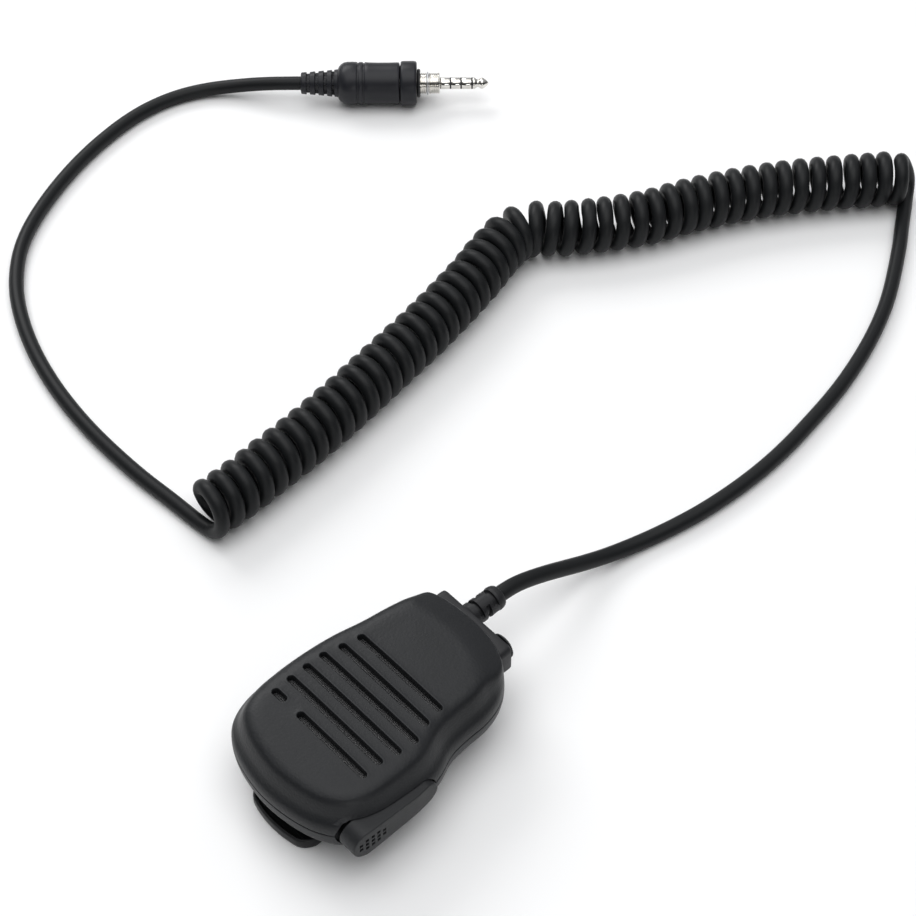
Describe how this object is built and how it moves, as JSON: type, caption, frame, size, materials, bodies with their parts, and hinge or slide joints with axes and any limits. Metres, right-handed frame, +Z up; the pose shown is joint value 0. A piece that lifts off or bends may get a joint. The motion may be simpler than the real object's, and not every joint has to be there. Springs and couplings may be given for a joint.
{
  "type": "hand microphone",
  "caption": "Speaker microphone with a push-to-talk lever, swivel clip, curly cord and a screw-in four-pole 3.5 mm plug.",
  "frame": {"origin": "bottom centre of the microphone's own box (cord, strain relief and plug not counted), on the surface that it lies on", "axes": "+Z up out of the grille, +Y towards the cord's exit, +X towards the push-to-talk lever"},
  "size_m": [0.245, 0.2775, 0.0244],
  "materials": {
    "shell_plastic": "fine moulded grain",
    "lever_plastic": "fine moulded grain",
    "clip_plastic": "smooth satin",
    "soft_rubber": "satin",
    "cord_jacket": "satin",
    "nickel": "bright nickel plate",
    "insulator": "gloss",
    "steel": "zinc plated",
    "magnet": "dull",
    "cone_paper": "pressed paper",
    "felt": "felt",
    "mesh_cloth": "woven nylon",
    "board": "solder mask",
    "wire": "tinned",
    "plunger_plastic": "moulded"
  },
  "bodies": {
    "housing": {"front_shell": "shell_plastic", "rear_shell": "shell_plastic", "shell_gasket": "soft_rubber", "gland_block": "soft_rubber", "strain_relief": "soft_rubber", "speaker_frame": "steel", "speaker_magnet": "magnet", "speaker_cone": "cone_paper", "speaker_gasket": "felt", "dust_mesh": "mesh_cloth", "mic_boot": "soft_rubber", "mic_capsule": "steel", "circuit_board": "board", "board_components": "insulator", "hookup_wires": "wire", "lead_tail": "cord_jacket", "ptt_switch": "insulator", "ptt_pin": "steel", "ear_jack": "insulator", "board_screws": "steel", "housing_screws": "steel", "clip_screw": "steel", "mic_lead": "cord_jacket", "coil_lower": "cord_jacket", "coil_upper": "cord_jacket", "plug_lead": "cord_jacket", "plug_strain_relief": "soft_rubber", "plug_body": "soft_rubber", "plug_core": "nickel", "plug_barrel": "nickel", "plug_insulators": "insulator", "plug_ring_rear": "nickel", "plug_ring_front": "nickel", "plug_tip": "nickel"},
    "lever": {"ptt_lever": "lever_plastic"},
    "plunger": {"ptt_plunger": "plunger_plastic"},
    "cover": {"jack_cover": "soft_rubber"},
    "clip_mount": {"clip_base": "clip_plastic", "clip_pin": "steel", "clip_spring": "steel"},
    "clip_jaw": {"clip_arm": "clip_plastic"},
    "screw_collar": {"plug_collar": "soft_rubber", "plug_sleeve": "nickel", "plug_seal": "soft_rubber"}
  },
  "joints": [
    {"name": "ptt_press", "type": "hinge", "parent": "housing", "child": "lever", "pos_m": [0.0198, -0.0075, 0.014], "axis": [0, 0, -1], "range_deg": [0, 3], "stiffness_Nm_per_rad": 0.05, "springref_deg": -0.57},
    {"name": "plunger_slide", "type": "slide", "parent": "housing", "child": "plunger", "axis": [-1, 0, 0], "range_m": [0, 0.00075]},
    {"name": "jack_cover_hinge", "type": "hinge", "parent": "housing", "child": "cover", "pos_m": [0.0027, 0.0345, 0.0162], "axis": [0, 0, 1], "range_deg": [0, 110]},
    {"name": "clip_swivel", "type": "hinge", "parent": "housing", "child": "clip_mount", "pos_m": [-0.0005, -0.004, 0.0068], "axis": [0, 0, 1], "continuous": true},
    {"name": "clip_open", "type": "hinge", "parent": "clip_mount", "child": "clip_jaw", "pos_m": [-0.0005, -0.016, 0.0043], "axis": [-1, 0, 0], "range_deg": [0, 11], "stiffness_Nm_per_rad": 0.05, "springref_deg": -2.86},
    {"name": "collar_spin", "type": "hinge", "parent": "housing", "child": "screw_collar", "pos_m": [-0.17173, 0.15872, 0.00665], "axis": [0.6756, 0.7373, 0], "continuous": true}
  ],
  "couplings": [
    {"joint": "plunger_slide", "follows": "ptt_press", "m_per_rad": 0.0135}
  ]
}
